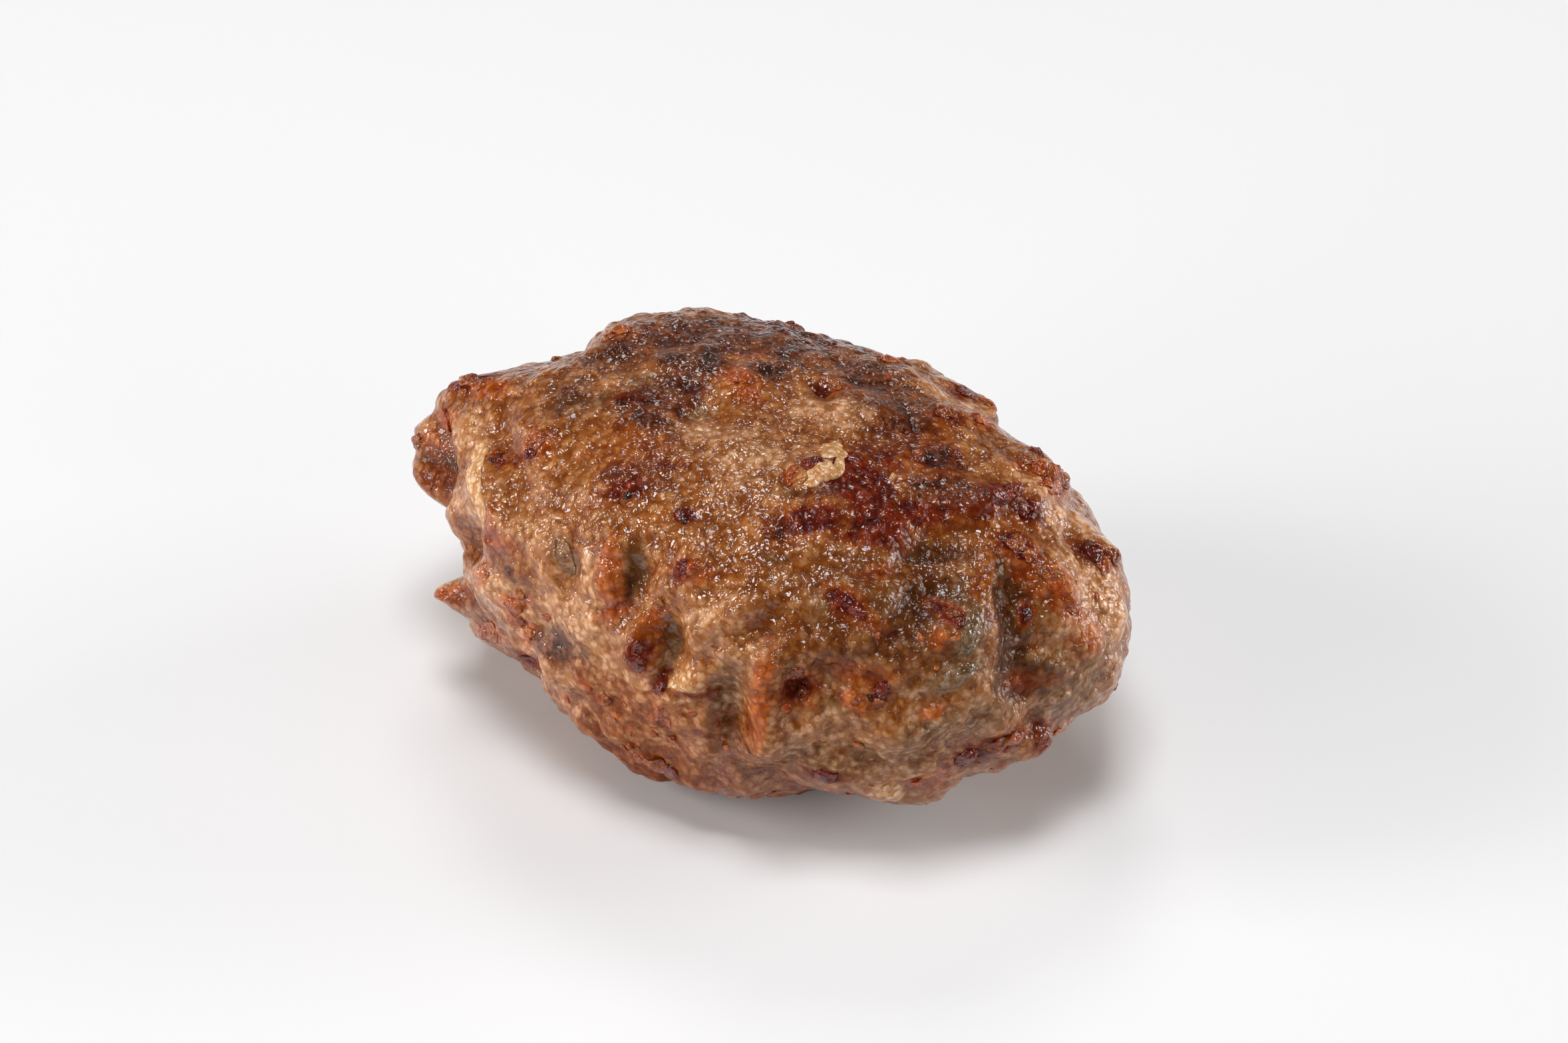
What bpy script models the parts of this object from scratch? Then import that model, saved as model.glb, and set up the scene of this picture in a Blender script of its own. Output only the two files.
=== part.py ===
"""A pan-fried Swedish meatball: one lumpy oval of minced meat, flattened where it was browned.

Lengths are in millimetres and angles in degrees until the last step, which writes metres.
The long axis is X and the flat browned underside rests on Z = 0. A bearing turns from +X
towards +Y, and a height is the angle above the level through the middle of the ball.
"""

import bmesh
import bpy
import numpy as np
from mathutils import Vector, noise

MM = 0.001

# Driving sizes of the smooth body
LENGTH = 46.0
WIDTH = 32.0
RISE_ABOVE_MIDDLE = 12.6
DROP_BELOW_MIDDLE = 13.8
MIDDLE_HEIGHT = 11.9
PROFILE_POWER = 2.1
BROADER_END = 0.05
THINNER_END = 0.12

# The top is pressed nearly flat, this far below the body's own peak
PRESS_DEPTH = 0.6
PRESS_SOFTNESS = 1.0

# Cuts in each edge of the twenty-sided ball, and its stretch that keeps the triangles even
EDGE_CUTS = 22
SPREAD = Vector((1.3, 1.1, 1.0))

# Grain of the minced meat: width of its features, how far they stand out, and a shift
SWELLS = (5.5, 0.5, 3.7)
RIPPLES = (2.6, 0.3, 11.2)
LUMPS_OF_MINCE = (3.6, 0.9, 5.1)
CRUMBS_OF_MINCE = (2.0, 0.45, 17.3)

# The grain is weaker on the pressed top and underside than on the flanks between them
GRAIN_WHEN_PRESSED = 0.4
FLANK_HALF_HEIGHT = 7.0
FLANK_FADE = 5.0

# A lump fades out at this many times its half sizes. A point fades by this power, from a
# blunt end that is the rest of this share of its reach
LUMP_REACH = 1.5
POINT_POWER = 1.5
POINT_FLANK = 0.86

BROWNED_MEAT = (0.31, 0.16, 0.08, 1.0)
MEAT_ROUGHNESS = 0.45

# Each lump or hollow: bearing, height, half length, half width, turn of its length from the
# level line, and how far it stands out or, if negative, sinks in
EDGE_LUMPS = {
    "left_ear": (187, 9, 6.0, 5.0, 90, 1.5),
    "ear_corner": (185, 17, 2.2, 1.8, 0, 0.9),
    "ear_lobe": (194, 2, 2.2, 1.8, 0, 1.5),
    "ear_notch": (199, -6, 3.4, 3.4, 0, -4.4),
    "neck_above_ear": (167, 24, 4.8, 3.6, 0, -2.2),
    "waist_left": (222, -17, 5.0, 4.0, 0, -0.8),
    "flank_low_left": (213, -29, 3.0, 2.4, 0, -0.4),
    "belly_front": (273, -35, 8.0, 6.0, 0, 0.8),
    "lower_hollow": (310, -33, 5.0, 4.5, 0, -0.8),
    "bottom_bump": (329, -25, 3.2, 2.6, 0, 1.0),
    "low_right_shelf": (343, -12, 3.4, 2.6, 0, 0.5),
    "lower_right_hollow": (350, -24, 4.0, 3.0, 0, -0.8),
    "right_bulge": (8, -2, 7.0, 6.0, 0, 0.9),
    "right_slope": (22, 12, 4.5, 3.5, 0, -0.5),
    "right_notch": (44, 18, 4.2, 3.2, 0, -1.5),
    "shoulder_back": (82, 38, 4.0, 3.0, 0, 0.3),
    "saddle_back": (98, 37, 5.0, 4.0, 0, -0.5),
    "crown_back": (128, 35, 8.0, 5.0, 0, 0.4),
    "rear_lump": (160, 29, 3.4, 2.8, 0, 1.1),
}
EDGE_POINTS = {
    "left_tip": (189, 8, 1.6, 1.4, 0, 0.9),
    "left_spike": (206, -10, 1.8, 1.6, 0, 3.8),
    "back_spur": (48, 26, 2.2, 1.8, 0, 0.5),
    "orange_knob": (211, -18, 2.2, 1.8, 0, 0.9),
    "rim_knob_right": (17, 8, 1.7, 1.5, 0, 0.5),
    "rim_knob_low": (346, -8, 1.6, 1.4, 0, 0.7),
}
FRONT_LUMPS = {
    "ridge_left": (254, 26, 3.0, 1.2, 105, 0.9),
    "hollow_left": (258, 25, 3.0, 1.5, 104, -0.9),
    "dark_lump": (267, 12, 2.2, 1.5, 70, 1.0),
    "hollow_deep": (273, 13, 2.6, 1.6, 110, -1.6),
    "pale_nub": (280, 7, 1.4, 1.2, 34, 1.2),
    "hump_front": (283, 22, 3.4, 2.4, 29, 0.9),
    "rib": (296, 4, 3.2, 1.3, 88, 0.9),
    "rib_end": (297, -3, 1.6, 1.4, 0, 0.5),
    "valley_by_rib": (289, -1, 3.8, 1.4, 88, -1.1),
    "red_crumb": (277, 33, 1.2, 1.1, 0, 0.6),
    "onion_pit": (241, 22, 2.2, 1.2, 101, -0.6),
    "gap_by_ear": (197, 10, 2.4, 1.5, 150, -1.9),
    "onion_strip": (208, 18, 2.4, 1.5, 147, 0.7),
    "knob_left": (223, 17, 1.9, 1.7, 0, 0.8),
    "waist_pit": (214, 7, 1.9, 1.4, 73, -1.0),
    "bulge_left": (223, 2, 2.6, 2.2, 70, 0.9),
    "broad_dip": (340, 30, 3.4, 2.2, 0, -1.5),
    "dip_below": (335, 23, 2.6, 1.2, 0, -1.2),
    "hump_middle": (318, 26, 2.7, 2.0, 10, 0.9),
    "crumb_middle": (335, 18, 1.8, 1.2, 10, 1.0),
    "valley_right_top": (351, 19, 2.6, 1.8, 31, -0.9),
    "valley_right": (346, 8, 4.2, 2.6, 64, -1.1),
    "onion_right": (336, 13, 2.6, 1.8, 50, 0.35),
    "ridge_right": (356, 16, 3.2, 1.7, 94, 1.0),
    "knob_right": (12, 12, 1.7, 1.5, 0, 1.1),
    "crumbs_right": (10, 28, 1.9, 1.2, 154, 0.8),
    "crumb_back_right": (1, 33, 1.8, 1.2, 160, 0.6),
    "cluster_right": (22, 25, 2.8, 1.8, 143, 0.8),
    "lip_middle": (306, 17, 4.6, 1.6, 6, 0.5),
    "undercut_middle": (306, 10, 4.6, 1.6, 9, -0.6),
    "crumb_low": (314, 8, 1.5, 1.3, 20, 0.7),
    "blister_low": (322, 2, 2.6, 1.8, 10, 0.6),
    "groove_low": (298, -14, 6.0, 1.6, 25, -0.5),
    "onion_top": (325, 60, 2.1, 1.5, -8, 0.7),
    "mound_top": (27, 68, 2.6, 1.9, 120, 0.5),
    "slot_top": (57, 72, 1.3, 0.9, 155, -0.7),
    "crater_top": (213, 70, 1.9, 1.7, 0, -0.6),
    "orange_patch": (142, 73, 2.2, 1.8, 14, 0.4),
    "char_ridge": (169, 57, 2.6, 1.6, 161, 0.5),
    "left_shoulder": (238, 44, 3.2, 1.8, 134, 0.5),
    "dark_front": (321, 50, 3.0, 1.7, -7, 0.4),
}
BACK_LUMPS = {
    "back_hump": (118, 2, 5.0, 3.6, 10, 0.8),
    "back_hollow": (96, -2, 4.0, 3.0, 0, -0.9),
    "back_fold": (76, 8, 5.0, 1.6, 40, -0.9),
    "back_ridge": (66, 3, 4.6, 1.6, 50, 0.8),
    "back_knob": (140, -14, 2.2, 2.0, 0, 0.9),
    "back_low_hump": (60, -20, 4.0, 3.0, 0, 0.7),
    "back_dent": (150, 6, 3.0, 2.2, 60, -0.9),
}


def ball_of_triangles(cuts):
    """Directions and triangles of a twenty-sided ball with this many cuts in each edge."""
    shell = bmesh.new()
    bmesh.ops.create_icosphere(shell, subdivisions=1, radius=1.0)
    bmesh.ops.subdivide_edges(shell, edges=shell.edges[:], cuts=cuts, use_grid_fill=True)
    shell.verts.index_update()
    directions = np.array([(vert.co.normalized() * SPREAD).normalized() for vert in shell.verts])
    triangles = [[vert.index for vert in face.verts] for face in shell.faces]
    shell.free()
    return directions, triangles


def smooth_body(directions):
    """Points of the plain oval in these directions, about its middle."""
    x, y, z = directions.T
    plan = np.hypot(2.0 * x / LENGTH, 2.0 * y / WIDTH)
    rise = np.abs(z) / np.where(z > 0.0, RISE_ABOVE_MIDDLE, DROP_BELOW_MIDDLE)
    reach = (plan**PROFILE_POWER + rise**PROFILE_POWER) ** (-1.0 / PROFILE_POWER)
    points = directions * reach[:, None]
    along = 2.0 * points[:, 0] / LENGTH
    points[:, 1] *= 1.0 + BROADER_END * along
    points[:, 2] *= 1.0 - THINNER_END * along
    pressed = RISE_ABOVE_MIDDLE - PRESS_DEPTH
    below = (pressed - points[:, 2]) / PRESS_SOFTNESS
    points[:, 2] = pressed - PRESS_SOFTNESS * np.logaddexp(0.0, below)
    return points


def lump_share(points, bearing, height, half_length, half_width, turn, pointed=False):
    """From 0 to 1, how far each point belongs to a lump seen in that direction."""
    b, h, t = np.radians([bearing, height, turn])
    outward = np.array([np.cos(h) * np.cos(b), np.cos(h) * np.sin(b), np.sin(h)])
    level = np.array([-np.sin(b), np.cos(b), 0.0])
    upward = np.cross(outward, level)
    across, up = points @ level, points @ upward
    along = (across * np.cos(t) + up * np.sin(t)) / half_length
    aside = (up * np.cos(t) - across * np.sin(t)) / half_width
    inside = np.clip(1.0 - np.hypot(along, aside) / LUMP_REACH, 0.0, 1.0)
    if pointed:
        share = np.minimum(inside / POINT_FLANK, 1.0) ** POINT_POWER
    else:
        share = inside**2 * (3.0 - 2.0 * inside)
    return np.where(points @ outward > 0.0, share, 0.0)


def smooth_noise(points, width, depth, shift):
    """Soft swells as wide as this, that stand out and sink in by up to this depth."""
    offset = Vector((shift, -shift, 2.0 * shift))
    return depth * np.array([noise.noise(Vector(point) / width + offset) for point in points])


def grains(points, width, depth, shift):
    """Rounded grains as wide as this, with creases between them."""
    offset = Vector((shift, shift, -shift))
    nearest = np.array([noise.voronoi(Vector(point) / width + offset)[0][0] for point in points])
    return depth * (0.5 - np.clip(nearest, 0.0, 1.0))


def relief(points):
    """How far the meat stands out from the smooth body at each point."""
    height = np.zeros(len(points))
    for lumps in (EDGE_LUMPS, FRONT_LUMPS, BACK_LUMPS):
        for *place, rise in lumps.values():
            height += rise * lump_share(points, *place)
    for *place, rise in EDGE_POINTS.values():
        height += rise * lump_share(points, *place, pointed=True)
    pressed = np.clip((np.abs(points[:, 2]) - FLANK_HALF_HEIGHT) / FLANK_FADE, 0.0, 1.0)
    grain = smooth_noise(points, *SWELLS) + smooth_noise(points, *RIPPLES)
    grain += grains(points, *LUMPS_OF_MINCE) + grains(points, *CRUMBS_OF_MINCE)
    return height + grain * (1.0 - (1.0 - GRAIN_WHEN_PRESSED) * pressed)


def meatball_points(directions):
    """Points of the finished surface, with its box centred over the origin and its foot at 0."""
    points = smooth_body(directions)
    points += directions * relief(points)[:, None]
    points[:, 2] = np.maximum(points[:, 2] + MIDDLE_HEIGHT, 0.0)
    points[:, :2] -= (points[:, :2].min(axis=0) + points[:, :2].max(axis=0)) / 2.0
    return points


def browned_meat():
    """The fried meat's plain finish."""
    material = bpy.data.materials.new("browned_meat")
    material.use_nodes = True
    shader = material.node_tree.nodes["Principled BSDF"]
    shader.inputs["Base Color"].default_value = BROWNED_MEAT
    shader.inputs["Roughness"].default_value = MEAT_ROUGHNESS
    shader.inputs["Metallic"].default_value = 0.0
    return material


def add_meatball():
    directions, triangles = ball_of_triangles(EDGE_CUTS)
    mesh = bpy.data.meshes.new("meatball")
    mesh.from_pydata((meatball_points(directions) * MM).tolist(), [], triangles)
    mesh.materials.append(browned_meat())
    mesh.shade_smooth()
    meatball = bpy.data.objects.new("meatball", mesh)
    bpy.context.scene.collection.objects.link(meatball)


def main():
    for obj in list(bpy.data.objects):
        bpy.data.objects.remove(obj, do_unlink=True)
    add_meatball()


main()
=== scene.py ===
"""The looks of a pan-fried Swedish meatball, on the frame of its CAD model.

The script makes the same form as the part, on a mesh fine enough for the grain of the mince,
and colours it by named patches. Most of what the photo shows is placed by its pixel there, and
lies on the meat where the camera sees that pixel. The chopped onion and the crumbs that stand
out of the meat are pieces of their own. Lengths are in millimetres and angles in degrees until
a mesh, lamp or camera is made, which is in metres.
"""

import bmesh
import bpy
import numpy as np
from mathutils import Matrix, Vector, noise
from mathutils.bvhtree import BVHTree


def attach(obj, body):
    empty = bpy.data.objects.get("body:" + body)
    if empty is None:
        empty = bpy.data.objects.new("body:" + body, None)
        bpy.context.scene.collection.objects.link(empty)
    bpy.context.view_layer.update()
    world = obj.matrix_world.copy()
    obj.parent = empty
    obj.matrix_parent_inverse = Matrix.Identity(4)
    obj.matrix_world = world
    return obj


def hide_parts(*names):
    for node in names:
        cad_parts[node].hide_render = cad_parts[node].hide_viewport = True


MM = 0.001

# Driving sizes of the smooth body
LENGTH = 46.0
WIDTH = 32.0
RISE_ABOVE_MIDDLE = 12.6
DROP_BELOW_MIDDLE = 13.8
MIDDLE_HEIGHT = 11.9
PROFILE_POWER = 2.1
BROADER_END = 0.05
THINNER_END = 0.12

# The top is pressed nearly flat, this far below the body's own peak
PRESS_DEPTH = 0.6
PRESS_SOFTNESS = 1.0

# Cuts in each edge of the twenty-sided ball, and its stretch that keeps the triangles even
EDGE_CUTS = 98
SPREAD = Vector((1.3, 1.1, 1.0))

# Grain of the minced meat: width of its features, how far they stand out, and a shift
SWELLS = (5.5, 0.5, 3.7)
RIPPLES = (2.6, 0.3, 11.2)
LUMPS_OF_MINCE = (3.6, 0.9, 5.1)
CRUMBS_OF_MINCE = (2.0, 0.45, 17.3)

# The grain is weaker on the pressed top and underside than on the flanks between them
GRAIN_WHEN_PRESSED = 0.4
FLANK_HALF_HEIGHT = 7.0
FLANK_FADE = 5.0

# A lump fades out at this many times its half sizes. A point fades by this power, from a
# blunt end that is the rest of this share of its reach
LUMP_REACH = 1.5
POINT_POWER = 1.5
POINT_FLANK = 0.86

# Finer grain that only shows close up: width of its features, how far they stand out, a shift
FINE_GRAINS = (1.25, 0.22, 31.0)
FINE_RIPPLES = (0.9, 0.11, 47.0)
FINEST_GRAINS = (0.62, 0.15, 61.0)

# Crags of the crusted places, and the strands between the pools of juice low on the sides
CRAGS = (1.5, 0.22, 71.0)
FINE_CRAGS = (0.8, 0.12, 83.0)
CRAG_MIDDLE = 0.6
CRAG_STEEPNESS = 2.0
STRANDS_APART = 1.5
STRAND_HALF_WIDTH = 0.2
STRAND_RISE = 0.1
STRAND_BENDS = 1.3
STRAND_WANDER = 0.45
PIT_DEPTH = 0.5

# The share of the fine grain that smooth patches take away at most. Crags stand where crust,
# orange and a share of char add up to more than a threshold
MOST_SMOOTHING = 0.85
CHAR_CRAGS = 0.6
CRAGS_FROM = 0.3

# Rounds of averaging that tell a crease from what is around it, for the painted shade that the creases
# get
CREASE_ROUNDS = 10

# Each lump or hollow: bearing, height, half length, half width, turn of its length from the
# level line, and how far it stands out or, if negative, sinks in
EDGE_LUMPS = dict(
    left_ear=(187, 9, 6.0, 5.0, 90, 1.5),
    ear_corner=(185, 17, 2.2, 1.8, 0, 0.9),
    ear_lobe=(194, 2, 2.2, 1.8, 0, 1.5),
    ear_notch=(199, -6, 3.4, 3.4, 0, -4.4),
    neck_above_ear=(167, 24, 4.8, 3.6, 0, -2.2),
    waist_left=(222, -17, 5.0, 4.0, 0, -0.8),
    flank_low_left=(213, -29, 3.0, 2.4, 0, -0.4),
    belly_front=(273, -35, 8.0, 6.0, 0, 0.8),
    lower_hollow=(310, -33, 5.0, 4.5, 0, -0.8),
    bottom_bump=(329, -25, 3.2, 2.6, 0, 1.0),
    low_right_shelf=(343, -12, 3.4, 2.6, 0, 0.5),
    lower_right_hollow=(350, -24, 4.0, 3.0, 0, -0.8),
    right_bulge=(8, -2, 7.0, 6.0, 0, 0.9),
    right_slope=(22, 12, 4.5, 3.5, 0, -0.5),
    right_notch=(44, 18, 4.2, 3.2, 0, -1.5),
    shoulder_back=(82, 38, 4.0, 3.0, 0, 0.3),
    saddle_back=(98, 37, 5.0, 4.0, 0, -0.5),
    crown_back=(128, 35, 8.0, 5.0, 0, 0.4),
    rear_lump=(160, 29, 3.4, 2.8, 0, 1.1),
)
EDGE_POINTS = dict(
    left_tip=(189, 8, 1.6, 1.4, 0, 0.9),
    left_spike=(206, -10, 1.8, 1.6, 0, 3.8),
    back_spur=(48, 26, 2.2, 1.8, 0, 0.5),
    orange_knob=(211, -18, 2.2, 1.8, 0, 0.9),
    rim_knob_right=(17, 8, 1.7, 1.5, 0, 0.5),
    rim_knob_low=(346, -8, 1.6, 1.4, 0, 0.7),
)
FRONT_LUMPS = dict(
    ridge_left=(254, 26, 3.0, 1.2, 105, 0.9),
    hollow_left=(258, 25, 3.0, 1.5, 104, -0.9),
    dark_lump=(267, 12, 2.2, 1.5, 70, 1.0),
    hollow_deep=(273, 13, 2.6, 1.6, 110, -1.6),
    pale_nub=(280, 7, 1.4, 1.2, 34, 1.2),
    hump_front=(283, 22, 3.4, 2.4, 29, 0.9),
    rib=(296, 4, 3.2, 1.3, 88, 0.9),
    rib_end=(297, -3, 1.6, 1.4, 0, 0.5),
    valley_by_rib=(289, -1, 3.8, 1.4, 88, -1.1),
    red_crumb=(277, 33, 1.2, 1.1, 0, 0.6),
    onion_pit=(241, 22, 2.2, 1.2, 101, -0.6),
    gap_by_ear=(197, 10, 2.4, 1.5, 150, -1.9),
    onion_strip=(208, 18, 2.4, 1.5, 147, 0.7),
    knob_left=(223, 17, 1.9, 1.7, 0, 0.8),
    waist_pit=(214, 7, 1.9, 1.4, 73, -1.0),
    bulge_left=(223, 2, 2.6, 2.2, 70, 0.9),
    broad_dip=(340, 30, 3.4, 2.2, 0, -1.5),
    dip_below=(335, 23, 2.6, 1.2, 0, -1.2),
    hump_middle=(318, 26, 2.7, 2.0, 10, 0.9),
    crumb_middle=(335, 18, 1.8, 1.2, 10, 1.0),
    valley_right_top=(351, 19, 2.6, 1.8, 31, -0.9),
    valley_right=(346, 8, 4.2, 2.6, 64, -1.1),
    onion_right=(336, 13, 2.6, 1.8, 50, 0.35),
    ridge_right=(356, 16, 3.2, 1.7, 94, 1.0),
    knob_right=(12, 12, 1.7, 1.5, 0, 1.1),
    crumbs_right=(10, 28, 1.9, 1.2, 154, 0.8),
    crumb_back_right=(1, 33, 1.8, 1.2, 160, 0.6),
    cluster_right=(22, 25, 2.8, 1.8, 143, 0.8),
    lip_middle=(306, 17, 4.6, 1.6, 6, 0.5),
    undercut_middle=(306, 10, 4.6, 1.6, 9, -0.6),
    crumb_low=(314, 8, 1.5, 1.3, 20, 0.7),
    blister_low=(322, 2, 2.6, 1.8, 10, 0.6),
    groove_low=(298, -14, 6.0, 1.6, 25, -0.5),
    onion_top=(325, 60, 2.1, 1.5, -8, 0.7),
    mound_top=(27, 68, 2.6, 1.9, 120, 0.5),
    slot_top=(57, 72, 1.3, 0.9, 155, -0.7),
    crater_top=(213, 70, 1.9, 1.7, 0, -0.6),
    orange_patch=(142, 73, 2.2, 1.8, 14, 0.4),
    char_ridge=(169, 57, 2.6, 1.6, 161, 0.5),
    left_shoulder=(238, 44, 3.2, 1.8, 134, 0.5),
    dark_front=(321, 50, 3.0, 1.7, -7, 0.4),
)
BACK_LUMPS = dict(
    back_hump=(118, 2, 5.0, 3.6, 10, 0.8),
    back_hollow=(96, -2, 4.0, 3.0, 0, -0.9),
    back_fold=(76, 8, 5.0, 1.6, 40, -0.9),
    back_ridge=(66, 3, 4.6, 1.6, 50, 0.8),
    back_knob=(140, -14, 2.2, 2.0, 0, 0.9),
    back_low_hump=(60, -20, 4.0, 3.0, 0, 0.7),
    back_dent=(150, 6, 3.0, 2.2, 60, -0.9),
)

# How the bits lie: cuts in their mesh, thickness as a share of their half width, lift as a
# share of that thickness, and how uneven they are
FLAKE = {"cuts": 8, "thickness": 0.24, "lift": -0.35, "roughness": 0.35}
CRUMB = {"cuts": 7, "thickness": 0.4, "lift": 0.0, "roughness": 0.45}
SMALL_CRUMB = {"cuts": 3, "thickness": 0.5, "lift": 0.0, "roughness": 0.5}
BIT_CLEARANCE = 2.0
NORMAL_ROUNDS = 14

# Swells and lumps that make a bit uneven: how often they come, the lumps' share, and how far
# each bit's noise is shifted from the last one's
BIT_SWELLS = 1.2
BIT_LUMPS = 2.9
BIT_LUMP_SHARE = 0.6
BIT_SHIFTS = (7.3, 1.7, -3.1)

# Bits strewn at random: seeds, counts, half lengths, widths as a share of the length, and how
# much their tones vary
ONION_SEED = 5
UNSEEN_ONION = 9
ONION_HALF_LENGTHS = (0.8, 1.7)
CRUMB_SEED = 11
SMALL_CRUMBS = 260
CRUMB_HALF_LENGTHS = (0.16, 0.42)
STREWN_WIDTHS = (0.5, 0.9)
TONE_VARIATION = 0.15

# Strewn onion lies where the meat faces away from the camera, above this height
ONION_FACING = -0.1
ONION_FOOT = 1.0
STREWN_ONION_TONE = 0.5

# Small crumbs are likelier on browned meat, by up to this much more than on plain meat, and
# rarer on smooth meat. They are darker on dark meat
CRUMB_FOOT = 0.5
PLAIN_WEIGHT = 0.12
MOST_BROWNED = 1.5
MOST_BARE = 0.9
CRUMB_TONE = 0.85
DARKER_TONE = 0.6

# Patches that the photo shows: pixel across and down, angle of its length in the picture,
# half length and half width in pixels, and strength
# Pale patches: pale meat and onion, and painted light: highlights on the bulge and the spike, a glow
# at the foot of the ear's onion, sheen on the right flank and rim, and light on the flanks low on the
# left
PALE_AND_LIT_SEEN = dict(
    upper_left=(862, 604, 0, 50, 34, 0.6),
    plateau_top=(1150, 640, -10, 60, 30, 0.2),
    bottom_left_end=(1080, 1150, -10, 80, 30, 0.9),
    left_under_spike=(800, 1010, -50, 50, 24, 1.0),
    bottom_left=(985, 1100, -35, 96, 44, 2.3),
    ear_strip=(706, 706, 85, 54, 15, 1.6),
    ear=(700, 650, 80, 24, 18, 1.1),
    ear_low=(692, 752, -40, 24, 12, 1.0),
    ear_glow=(716, 780, 75, 24, 7, 1.2),
    plateau=(1108, 682, -15, 84, 46, 0.65),
    plateau_left=(1045, 650, 0, 34, 26, 0.7),
    yellow_top=(1076, 602, 0, 15, 13, 1.3),
    ring_top=(1047, 624, 40, 14, 10, 1.3),
    tan_mound=(1262, 620, -10, 36, 22, 1.0),
    mound_left=(1215, 612, 0, 26, 16, 0.9),
    right_of_mound=(1302, 628, 80, 24, 13, 0.9),
    onion_cream=(1244, 682, 30, 26, 16, 1.4),
    back_right_rim=(1440, 604, -25, 52, 18, 0.9),
    left_slope=(800, 770, 60, 90, 60, 0.4),
    left_ridge=(880, 905, 85, 70, 16, 1.2),
    left_flank=(880, 1010, 80, 60, 34, 1.5),
    left_low_flank=(845, 1040, -60, 90, 40, 2.6),
    nub=(1022, 1026, 20, 26, 22, 2.2),
    tan_front=(1075, 950, 20, 60, 34, 0.5),
    hump_front_low=(1130, 985, 10, 50, 26, 0.6),
    hump_front=(1055, 925, 20, 60, 26, 0.8),
    hump_olive=(1230, 920, 60, 24, 16, 1.0),
    front_left=(850, 740, 30, 60, 26, 0.4),
    bulge_shine=(735, 892, -20, 34, 24, 1.0),
    spike_light=(690, 874, 50, 12, 9, 1.0),
    right_haze=(1600, 770, -40, 84, 24, 0.9),
    right_rim=(1650, 905, 85, 90, 34, 1.5),
    bottom_yellow=(1334, 1196, 20, 16, 11, 1.8),
    crest_right=(1350, 700, -10, 40, 14, 0.6),
    streak=(1210, 700, -10, 40, 14, 0.4),
)
# Grey patches: the grey-beige of onion and of meat, and painted shade on hollow floors, in valleys,
# under the ear and low on the front
GREY_AND_SHADE_SEEN = dict(
    plateau=(1120, 668, -10, 90, 50, 0.35),
    onion_middle=(852, 838, -75, 26, 14, 1.0),
    hollow_floor=(958, 860, 80, 42, 16, 1.2),
    deep_side=(1006, 968, 80, 34, 14, 1.4),
    valley_by_rib=(1090, 1062, 80, 66, 22, 1.4),
    onion_right=(1462, 960, 80, 60, 24, 1.5),
    onion_right_low=(1440, 1020, 20, 60, 22, 1.2),
    mid_left=(985, 576, 0, 36, 13, 1.2),
    left=(905, 602, 0, 16, 13, 1.0),
    patch_left=(1165, 842, 0, 24, 10, 0.8),
    low=(1262, 1064, 0, 26, 13, 1.3),
    low_front=(1180, 1140, 0, 120, 26, 0.9),
    low_right=(1450, 1085, 15, 120, 26, 1.1),
    right_low_flank=(1612, 1030, 50, 74, 40, 1.0),
    bottom_mid=(1080, 1170, -5, 90, 22, 1.0),
    bottom_right=(1330, 1140, 0, 90, 24, 0.8),
    low_left=(800, 1000, -40, 30, 12, 0.8),
    ear_under=(662, 706, 80, 24, 14, 1.0),
    top_edge=(1330, 548, -10, 44, 8, 1.0),
)
# Painted shade: dark patches where the meat lies in shade, in the valleys, dips and hollows, and under
# the ridges, humps, onion and ear
PAINTED_SHADE_SEEN = dict(
    front_right=(1345, 930, 15, 170, 110, 0.7),
    front_low=(1220, 1010, 10, 110, 56, 0.5),
    right_valley=(1520, 950, 80, 100, 40, 0.7),
    back_right_haze=(1420, 770, -20, 80, 40, 0.4),
    dip_right=(1390, 832, 0, 60, 20, 1.0),
    shadow_right=(1378, 905, -10, 42, 24, 1.3),
    valley_top=(1510, 878, 85, 46, 24, 2.2),
    valley_right=(1518, 955, 80, 70, 24, 2.4),
    valley_low=(1535, 1020, 10, 46, 24, 1.5),
    deep_hollow=(992, 966, 75, 26, 10, 0.5),
    under_ridge=(940, 884, 85, 28, 10, 1.0),
    by_rib=(1075, 1100, 80, 34, 12, 0.9),
    under_hump=(1290, 982, 0, 70, 14, 0.8),
    ear_gap=(674, 704, 85, 30, 8, 1.4),
    under_onion=(1215, 742, 0, 46, 7, 0.8),
)
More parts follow.
